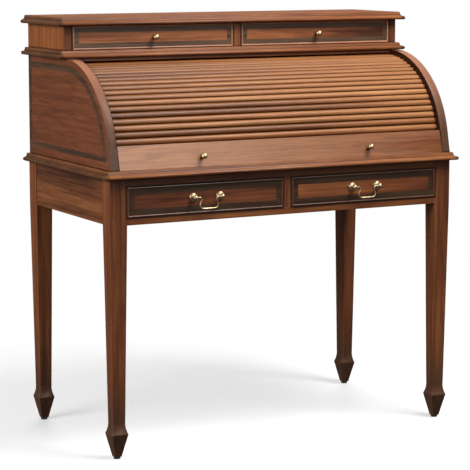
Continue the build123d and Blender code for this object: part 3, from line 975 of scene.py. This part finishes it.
def turn(
    name: str, profile: Profile, foot: Vector, axis: Vector, steps: int = 40
) -> bpy.types.Object:
    """Turn a piece on a lathe from its profile.

    Args:
        name: the piece's name.
        profile: (radius, height) points from the foot to the tip, in metres.
        foot: where height 0 is.
        axis: unit vector from the foot to the tip.
        steps: facets round the piece.

    Returns:
        The turned piece.
    """
    across = axis.orthogonal().normalized()
    places = [foot + axis * h + across * r for r, h in profile]
    clear_selection()
    bpy.ops.mesh.primitive_plane_add(size=1.0 * MM, location=places[0])
    piece = bpy.context.object
    piece.name = name
    bpy.ops.object.mode_set(mode="EDIT")
    bpy.ops.mesh.select_all(action="SELECT")
    bpy.ops.mesh.merge(type="CENTER")
    for here, there in zip(places, places[1:]):
        bpy.ops.mesh.extrude_region_move(TRANSFORM_OT_translate={"value": there - here})
    bpy.ops.mesh.select_all(action="SELECT")
    bpy.ops.mesh.spin(steps=steps, angle=math.tau, center=foot, axis=axis)
    bpy.ops.mesh.select_all(action="SELECT")
    bpy.ops.mesh.remove_doubles(threshold=0.002 * MM)
    bpy.ops.mesh.normals_make_consistent(inside=False)
    bpy.ops.object.mode_set(mode="OBJECT")
    settle(piece, 34.0)
    return piece


def bead(radius: float, height: float, bulge: float, steps: int = 4) -> Profile:
    """Profile points of a half-round bead standing on a cylinder.

    Args:
        radius: the cylinder's radius.
        height: the height of the bead's middle.
        bulge: the bead's own radius.
        steps: facets in the half round.

    Returns:
        (radius, height) points from its low side to its high side.
    """
    points = []
    for i in range(steps + 1):
        a = math.pi * (i / steps - 0.5)
        points.append((radius + bulge * math.cos(a), height + bulge * math.sin(a)))
    return points


def ball(radius: float, height: float, low: float, high: float = 90.0, steps: int = 14) -> Profile:
    """Profile points of a ball, between two latitudes.

    Args:
        radius: the ball's radius.
        height: the height of its middle.
        low: the latitude where it starts, in degrees.
        high: the latitude where it ends.
        steps: facets between them.

    Returns:
        (radius, height) points from its low end to its high end.
    """
    points = []
    for i in range(steps + 1):
        a = math.radians(low + (high - low) * i / steps)
        points.append((max(radius * math.cos(a), 0.0), height + radius * math.sin(a)))
    return points


def wear(
    piece: bpy.types.Object, finish: Finish, body: str, slot: str, *nodes: str
) -> bpy.types.Object:
    """Dress a new piece: its finish, the body it rides on, and what it stands for.

    Args:
        piece: the piece.
        finish: its finish.
        body: the CAD body that carries it.
        slot: the record's material slot; not used.
        nodes: CAD nodes that it replaces.

    Returns:
        The same piece.
    """
    piece.data.materials.clear()
    piece.data.materials.append(finish.material())
    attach(piece, body)
    if nodes:
        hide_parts(*nodes)
    return piece


# ------------------------------------------------------------------ sub-assemblies
@dataclass
class TableFrame:
    """Four spade-foot legs, the aprons and rails between them, and the drawers' runners."""

    leg_arris: float = 0.9 * MM
    divider_arris: float = 0.5 * MM
    rails: tuple[str, ...] = ("back_apron", "drawer_rail_bottom", "drawer_rail_top")

    def build(self) -> list[bpy.types.Object]:
        """Soften and dress every board of the table frame.

        Returns:
            The frame's pieces.
        """
        pieces = []
        for end in ("front", "back"):
            for hand in HANDS:
                pieces.append(finish_board(f"leg_{end}_{hand}", FINISH.legs, self.leg_arris))
        for node in self.rails:
            pieces.append(finish_board(node, FINISH.rails))
        for hand in HANDS:
            pieces.append(finish_board(f"side_apron_{hand}", FINISH.aprons))
        pieces.append(finish_board("drawer_divider", FINISH.legs, self.divider_arris))
        pieces.append(finish_board("drawer_runners", FINISH.lining))
        pieces.append(coat("drawer_kickers", FINISH.lining))
        pieces.append(coat("desktop_screws", FINISH.steel))
        pieces.append(coat("foot_glides", FINISH.plastic))
        return pieces


@dataclass
class Cabinet:
    """The desktop, the roll top case on it, the pigeonholes inside and the upper case."""

    board_arris: float = 0.4 * MM
    side_arris: float = 0.6 * MM
    inner_arris: float = 0.5 * MM
    back_arris: float = 0.3 * MM
    header_arris: float = 2.0 * MM
    boards: tuple[str, ...] = ("desktop", "upper_shelf", "top_board")

    def build(self) -> list[bpy.types.Object]:
        """Soften and dress the cabinet's boards.

        Returns:
            The cabinet's pieces.
        """
        pieces = [finish_board(node, FINISH.boards, self.board_arris) for node in self.boards]
        for hand in HANDS:
            pieces.append(finish_board(f"case_side_{hand}", FINISH.case_sides, self.side_arris))
            pieces.append(coat(f"side_inlay_{hand}", FINISH.side_banding))
            pieces.append(finish_board(f"upper_side_{hand}", FINISH.uprights))
        pieces.append(finish_board("upper_divider", FINISH.legs, self.inner_arris))
        pieces.append(finish_board("header_rail", FINISH.rails, self.header_arris))
        for node in ("case_back", "upper_back"):
            pieces.append(finish_board(node, FINISH.backs, self.back_arris))
        for node in ("gallery_top", "gallery_back"):
            pieces.append(finish_board(node, FINISH.rails, self.inner_arris))
        pieces.append(finish_board("gallery_uprights", FINISH.uprights, self.inner_arris))
        return pieces


@dataclass
class BrassKnob:
    """A ball knob on a stepped rose, turned in brass, with the stud that holds it."""

    name: str
    foot: Vector
    axis: Vector
    reach: float = 22.0 * MM
    ball_radius: float = 8.2 * MM
    foot_radius: float = 6.4 * MM
    rose_height: float = 4.8 * MM
    rose_bead: float = 0.7 * MM
    neck: float = 3.4 * MM
    stud: float = 2.0 * MM
    stud_depth: float = 12.0 * MM

    def build(self, body: str, node: str) -> list[bpy.types.Object]:
        """Turn the knob's rose and ball, and dress them.

        Args:
            body: the CAD body that carries the knob.
            node: the CAD node that it stands for.

        Returns:
            The rose, darkened as the ball's painted shadow, and the polished ball.
        """
        rose = turn(f"{self.name}_rose", self.rose(), self.foot, self.axis)
        # the rose wears the dark brass: painted shadow of the ball
        wear(rose, FINISH.shadowed_brass, body, "antique_brass", node)
        head = turn(f"{self.name}_ball", self.head(), self.foot, self.axis)
        wear(head, FINISH.brass, body, "antique_brass", node)
        return [rose, head]

    def rose(self) -> Profile:
        """The rose's outline: the stud, a bead round the foot, a cove, and the ball's seat.

        Returns:
            (radius, height) points from the stud's tip to the seat.
        """
        rim, seat = self.foot_radius, self.rose_height
        points = [(0.0, -self.stud_depth), (self.stud, -self.stud_depth + 0.6 * MM), (self.stud, 0.0)]
        points += [(rim - 0.2 * MM, 0.0)]
        points += bead(rim - self.rose_bead, self.rose_bead + 0.2 * MM, self.rose_bead)
        points += [(rim - 1.2 * MM, 2.2 * MM), (rim - 2.3 * MM, 3.2 * MM)]
        points += [(self.neck + 0.2 * MM, seat - 0.4 * MM), (self.neck - 0.4 * MM, seat), (0.0, seat)]
        return points

    def head(self) -> Profile:
        """The ball's outline on its short neck, which starts just inside the rose.

        Returns:
            (radius, height) points from the neck to the tip.
        """
        start = self.rose_height - 0.8 * MM
        join = math.degrees(-math.acos(self.neck / self.ball_radius))
        neck = [(0.0, start), (self.neck, start)]
        return neck + ball(self.ball_radius, self.reach - self.ball_radius, join)


@dataclass
class Tambour:
    """The lifting rail with two knobs, the slats and the cloth that joins them."""

    lean: float = 15.0
    knob_x: float = 245.0 * MM
    rail_arris: float = 1.2 * MM

    def build(self) -> list[bpy.types.Object]:
        """Dress the curtain and turn its knobs.

        Returns:
            The curtain's pieces, the knobs' among them.
        """
        pieces = [finish_board("tambour_rail", FINISH.lifting_rail, self.rail_arris)]
        pieces.append(coat("tambour_slats", FINISH.slats))
        pieces.append(coat("tambour_cloth", FINISH.canvas))
        out = Vector((0, -math.cos(math.radians(self.lean)), math.sin(math.radians(self.lean))))
        foot = self.knob_foot(out)
        for hand, side in zip(HANDS, (-1, 1)):
            place = Vector((side * self.knob_x, foot.y, foot.z))
            pieces += BrassKnob(f"tambour_knob_{hand}", place, out).build("tambour", "tambour_knobs")
        return pieces

    def knob_foot(self, out: Vector) -> Vector:
        """Where the knobs stand on the rail, worked out from the CAD knobs' box.

        Args:
            out: the knobs' direction.

        Returns:
            The foot's place, at x = 0.
        """
        low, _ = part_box("tambour_knobs")
        ball_y = low.y + BrassKnob.ball_radius
        foot_y = ball_y - out.y * (BrassKnob.reach - BrassKnob.ball_radius)
        return Vector((0.0, foot_y, self.rail_height(foot_y)))

    def rail_height(self, face_y: float) -> float:
        """Height at which the lifting rail's leaning face has a given y."""
        low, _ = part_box("tambour_rail")
        return low.z + (face_y - low.y) / math.tan(math.radians(self.lean))


@dataclass
class BailPull:
    """Two rosette posts, their nuts, and a swan-neck wire bail that swings between them.

    The route is the bail's right half in millimetres, from its pin to the middle of its grip.
    """

    hand: str
    reach: float = 22.0 * MM
    ball_radius: float = 6.6 * MM
    ball_at: float = 14.0 * MM
    rosette: float = 11.4 * MM
    rim: float = 1.2 * MM
    dome: float = 5.2 * MM
    wire: float = 1.75 * MM
    grip: float = 2.9 * MM
    grip_half: float = 17.0 * MM
    grip_drop: float = 28.5 * MM
    neck: float = 3.1 * MM
    stud: float = 2.0 * MM
    stud_depth: float = 24.5 * MM
    shoulder: float = 4.0 * MM
    dome_steps: int = 8
    board: float = 20.0 * MM
    nut_radius: float = 4.5 * MM
    nut_height: float = 3.5 * MM
    nut_arris: float = 0.35 * MM
    route: tuple[tuple[float, float], ...] = (
        (36.0, 0.0), (30.0, 0.0), (24.6, 0.1), (21.6, -2.6), (21.4, -7.2), (23.4, -12.6),
        (25.6, -18.2), (24.6, -24.0), (20.4, -28.2), (13.5, -29.0), (6.0, -29.0),
    )

    def build(self) -> list[bpy.types.Object]:
        """Turn the posts, cut their nuts, bend the bail, and dress them.

        Returns:
            The posts, the nuts and the bail.
        """
        low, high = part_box(f"lower_drawer_{self.hand}_posts")
        face_y = low.y + self.reach
        middle = Vector(((low.x + high.x) / 2, face_y - self.ball_at, (low.z + high.z) / 2))
        spacing = (high.x - low.x) / 2 - self.rosette
        made = []
        for side in (-1, 1):
            name = f"bail_post_{self.hand}_{'inner' if side * middle.x < 0 else 'outer'}"
            foot = Vector((middle.x + side * spacing, face_y, middle.z))
            made.append(self.post(name, foot))
            made.append(self.nut(name.replace("post", "nut"), foot))
        for piece in made:
            wear(piece, FINISH.brass, f"lower_drawer_{self.hand}", "antique_brass",
                 f"lower_drawer_{self.hand}_posts")
        bail = self.bend(f"bail_wire_{self.hand}", middle)
        wear(bail, FINISH.brass, f"lower_bail_{self.hand}", "antique_brass",
             f"lower_drawer_{self.hand}_bail")
        return made + [bail]

    def post(self, name: str, foot: Vector) -> bpy.types.Object:
        """Turn one rosette post: its stud, domed rosette, neck, ball and end button.

        Args:
            name: the piece's name.
            foot: the point where it stands on the drawer front.

        Returns:
            The post.
        """
        points = [(0.0, -self.stud_depth), (self.stud, -self.stud_depth + 0.3 * MM), (self.stud, 0.0)]
        points += [(self.rosette - 0.3 * MM, 0.0), (self.rosette, 0.4 * MM)]
        for i in range(self.dome_steps + 1):
            a = math.radians(90 * i / self.dome_steps)
            out = self.shoulder + (self.rosette - self.shoulder) * math.cos(a)
            points.append((out, self.rim + self.dome * math.sin(a)))
        points += [(self.neck, self.rim + self.dome + 0.3 * MM)]
        join = math.degrees(-math.acos(self.neck / self.ball_radius))
        points += ball(self.ball_radius, self.ball_at, join, 74.0)
        button = ((1.7, 1.4), (1.5, 0.5), (0.8, 0.1), (0.0, 0.0))
        points += [(radius * MM, self.reach - below * MM) for radius, below in button]
        return turn(name, points, foot, Vector((0, -1, 0)), 36)

    def nut(self, name: str, foot: Vector) -> bpy.types.Object:
        """Cut the hexagonal nut that holds a post behind the drawer front.

        Args:
            name: the piece's name.
            foot: the point where the post stands on the drawer front.

        Returns:
            The nut.
        """
        middle = foot + Vector((0.0, self.board + self.nut_height / 2, 0.0))
        clear_selection()
        bpy.ops.mesh.primitive_cylinder_add(
            vertices=6, radius=self.nut_radius, depth=self.nut_height, location=middle,
            rotation=(math.radians(90), 0.0, 0.0),
        )
        piece = bpy.context.object
        piece.name = name
        bpy.ops.object.mode_set(mode="EDIT")
        bpy.ops.mesh.select_all(action="SELECT")
        bpy.ops.mesh.bevel(offset=self.nut_arris, segments=2, affect="EDGES")
        bpy.ops.object.mode_set(mode="OBJECT")
        settle(piece, 30.0)
        return piece

    def bend(self, name: str, middle: Vector) -> bpy.types.Object:
        """Bend the bail's wire along its swan-neck route.

        Args:
            name: the piece's name.
            middle: the midpoint between the two pins.

        Returns:
            The bail as a closed mesh.
        """
        half = [(x * MM, z * MM) for x, z in self.route]
        whole = half + [(-x, z) for x, z in reversed(half)]
        data = bpy.data.curves.new(name, "CURVE")
        data.dimensions = "3D"
        data.bevel_depth = self.wire
        data.bevel_resolution = 5
        data.resolution_u = 6
        data.use_fill_caps = True
        line = data.splines.new("NURBS")
        line.points.add(len(whole) - 1)
        for point, (x, z) in zip(line.points, whole):
            point.co = (middle.x + x, middle.y, middle.z + z, 1.0)
            swell = max(0.0, 1.0 - (abs(x) / self.grip_half) ** 2) if z < -self.grip_drop else 0.0
            point.radius = 1.0 + (self.grip / self.wire - 1.0) * swell
        line.order_u = 4
        line.use_endpoint_u = True
        curve = bpy.data.objects.new(name, data)
        bpy.context.scene.collection.objects.link(curve)
        make_active(curve)
        bpy.ops.object.convert(target="MESH")
        piece = bpy.context.object
        piece.name = name
        settle(piece, 50.0)
        return piece


class Tier(Enum):
    """Which row a drawer is in."""

    LOWER = "lower"
    UPPER = "upper"


@dataclass
class Drawer:
    """A banded drawer: front, cock bead, banding and pale lining."""

    tier: Tier
    hand: str
    box_arris: float = 0.5 * MM

    def build(self) -> list[bpy.types.Object]:
        """Soften and dress the drawer's boards, and give it its knob or pull.

        Returns:
            The drawer's pieces.
        """
        upper = self.tier is Tier.UPPER
        stem = f"{self.tier.value}_drawer_{self.hand}_"
        pieces = [coat(stem + "front", getattr(FINISH, f"{self.tier.value}_{self.hand}"))]
        pieces.append(coat(stem + "bead", FINISH.beads))
        pieces.append(coat(stem + "band", FINISH.upper_banding if upper else FINISH.banding))
        pieces.append(finish_board(stem + "box", FINISH.lining, self.box_arris))
        pieces.append(coat(stem + "bottom", FINISH.lining))
        return pieces + (self.knob() if upper else BailPull(self.hand).build())

    def knob(self) -> list[bpy.types.Object]:
        """Turn and dress the upper drawer's knob.

        Returns:
            The knob's pieces.
        """
        node = f"upper_drawer_{self.hand}_knob"
        low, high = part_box(node)
        foot = Vector(((low.x + high.x) / 2, low.y + BrassKnob.reach, (low.z + high.z) / 2))
        knob = BrassKnob(f"upper_knob_{self.hand}", foot, Vector((0, -1, 0)))
        return knob.build(f"upper_drawer_{self.hand}", node)


# ------------------------------------------------------------------ studio
class Reach(Enum):
    """What a light acts on: all shading, gloss alone, or all but gloss."""

    ALL = "all"
    SHEEN = "sheen"
    FILL = "fill"


@dataclass
class SoftBox:
    """A large square studio light."""

    name: str
    place: tuple[float, float, float]
    aim: tuple[float, float, float]
    size: float
    power: float
    reach: Reach = Reach.ALL

    def build(self) -> None:
        """Hang the light and aim it."""
        data = bpy.data.lights.new(self.name, "AREA")
        data.shape = "SQUARE"
        data.size = self.size
        data.energy = self.power
        lamp = bpy.data.objects.new(self.name, data)
        lamp.location = self.place
        toward = Vector(self.aim) - Vector(self.place)
        lamp.rotation_mode = "QUATERNION"
        lamp.rotation_quaternion = toward.to_track_quat("-Z", "Y")
        lamp.visible_diffuse = self.reach is not Reach.SHEEN
        lamp.visible_glossy = self.reach is not Reach.FILL
        bpy.context.scene.collection.objects.link(lamp)


@dataclass
class Studio:
    """Pale floor, soft lights and the camera.

    The camera's angles are in degrees from the desk's front; lengths and places are in metres.
    The floor starts to fade, and ends, at two fractions of its radius, and the sky has one
    strength at the horizon and one overhead.
    """

    azimuth: float = 28.09
    elevation: float = 8.33
    distance: float = 5.281
    target: tuple[float, float, float] = (-0.0183, 0.0029, 0.5063)
    lens: float = 150.5
    floor_radius: float = 6.0
    floor_fade: tuple[float, float] = (0.12, 0.42)
    floor_grey: float = 0.52
    floor_glow: float = 0.40
    sky: tuple[float, float] = (0.12, 0.50)
    lights: list[SoftBox] = field(default_factory=lambda: [
        SoftBox("key", (1.0, -1.4, 3.4), (0.0, 0.0, 0.8), 1.4, 140.0),
        SoftBox("sheen", (0.8, -3.3, 2.3), (0.0, 0.0, 0.9), 1.7, 75.0, Reach.SHEEN),
        SoftBox("left_side", (-3.6, -0.7, 1.9), (0.0, 0.0, 0.6), 1.8, 125.0),
        SoftBox("rear_fill", (1.4, 3.6, 2.8), (0.0, 0.0, 0.6), 2.4, 60.0, Reach.FILL),
    ])

    def build(self) -> None:
        """Set up the studio."""
        self.place_camera()
        self.lay_floor()
        self.light_world()
        for light in self.lights:
            light.build()
        bpy.context.scene.view_settings.view_transform = "Standard"

    def place_camera(self) -> None:
        """Stand the camera off the desk's front left corner."""
        a, e = math.radians(self.azimuth), math.radians(self.elevation)
        back = Vector((-math.sin(a) * math.cos(e), -math.cos(a) * math.cos(e), math.sin(e)))
        data = bpy.data.cameras.new("camera")
        data.lens = self.lens
        data.clip_end = 100.0
        camera = bpy.data.objects.new("camera", data)
        camera.location = Vector(self.target) + back * self.distance
        camera.rotation_mode = "QUATERNION"
        camera.rotation_quaternion = (-back).to_track_quat("-Z", "Y")
        bpy.context.scene.collection.objects.link(camera)
        bpy.context.scene.camera = camera

    def lay_floor(self) -> None:
        """Lay a round pale floor that fades out at its rim."""
        clear_selection()
        bpy.ops.mesh.primitive_circle_add(vertices=96, radius=self.floor_radius, fill_type="NGON")
        floor = bpy.context.object
        floor.name = "studio_floor"
        g = Graph("studio_floor")
        away = g.add("ShaderNodeVectorMath", operation="LENGTH")
        g.join(g.add("ShaderNodeTexCoord"), "Object", away, 0)
        fade = g.add("ShaderNodeMapRange")
        fade.inputs["From Min"].default_value = self.floor_radius * self.floor_fade[0]
        fade.inputs["From Max"].default_value = self.floor_radius * self.floor_fade[1]
        fade.inputs["To Min"].default_value = 1.0
        fade.inputs["To Max"].default_value = 0.0
        g.join(away, "Value", fade, "Value")
        g.join(fade, "Result", g.shader, "Alpha")
        g.shader.inputs["Base Color"].default_value = (*[self.floor_grey] * 3, 1.0)
        g.shader.inputs["Roughness"].default_value = 0.40
        g.shader.inputs["Emission Color"].default_value = (*WHITE, 1.0)
        g.shader.inputs["Emission Strength"].default_value = self.floor_glow
        floor.data.materials.append(g.material)
        floor.visible_glossy = False
        floor.visible_diffuse = False

    def light_world(self) -> None:
        """White backdrop, with a soft sky that is darker toward the floor."""
        world = bpy.data.worlds.new("studio")
        bpy.context.scene.world = world
        world.use_nodes = True
        tree = world.node_tree
        tree.nodes.clear()
        output = tree.nodes.new("ShaderNodeOutputWorld")
        backdrop = tree.nodes.new("ShaderNodeBackground")
        backdrop.inputs["Color"].default_value = (*WHITE, 1.0)
        sky = tree.nodes.new("ShaderNodeBackground")
        sky.inputs["Color"].default_value = (*WHITE, 1.0)
        direction = tree.nodes.new("ShaderNodeTexCoord")
        split = tree.nodes.new("ShaderNodeSeparateXYZ")
        rise = tree.nodes.new("ShaderNodeMapRange")
        rise.inputs["From Min"].default_value = 0.0
        rise.inputs["From Max"].default_value = 0.9
        rise.inputs["To Min"].default_value = self.sky[0]
        rise.inputs["To Max"].default_value = self.sky[1]
        ray = tree.nodes.new("ShaderNodeLightPath")
        mix = tree.nodes.new("ShaderNodeMixShader")
        tree.links.new(direction.outputs["Generated"], split.inputs[0])
        tree.links.new(split.outputs["Z"], rise.inputs["Value"])
        tree.links.new(rise.outputs["Result"], sky.inputs["Strength"])
        tree.links.new(ray.outputs["Is Camera Ray"], mix.inputs[0])
        tree.links.new(sky.outputs[0], mix.inputs[1])
        tree.links.new(backdrop.outputs[0], mix.inputs[2])
        tree.links.new(mix.outputs[0], output.inputs["Surface"])


def main() -> None:
    """Build the studio and the sub-assemblies in order, and report each piece."""
    logging.basicConfig(level=logging.INFO, format="%(name)s: %(message)s")
    Studio().build()
    log.info("studio set")
    parts = {"table frame": TableFrame(), "cabinet": Cabinet(), "tambour": Tambour()}
    for hand in HANDS:
        for tier in Tier:
            parts[f"{tier.value} drawer {hand}"] = Drawer(tier, hand)
    for title, part in parts.items():
        for piece in part.build():
            log.info("%s: %s", title, piece.name)
    clear_selection()


if __name__ == "__main__":
    main()
